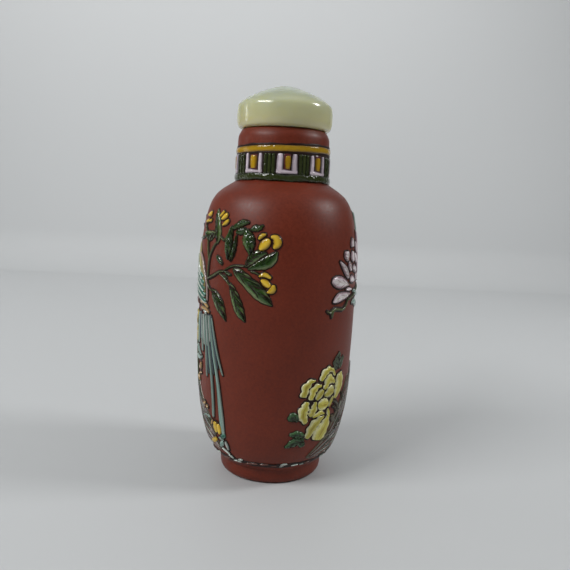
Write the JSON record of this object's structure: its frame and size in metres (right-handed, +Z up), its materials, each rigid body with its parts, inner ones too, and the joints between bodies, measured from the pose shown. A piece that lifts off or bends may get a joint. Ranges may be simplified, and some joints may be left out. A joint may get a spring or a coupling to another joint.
{
  "type": "snuff bottle",
  "caption": "Small turned stoneware snuff bottle with raised enamel flowers and a bird, a banded neck and a loose round stopper.",
  "frame": {"origin": "centre of the foot's underside, on the surface that the bottle stands on", "axes": "+Z up along the turned axis, -Y towards the front, +X to the right seen from the front"},
  "size_m": [0.0332, 0.033, 0.08],
  "materials": {
    "red_stoneware": "matt unglazed clay with glossy enamel relief",
    "celadon_stone": "polished"
  },
  "bodies": {
    "root": {"bottle": "red_stoneware", "stopper": "celadon_stone"}
  },
  "joints": []
}
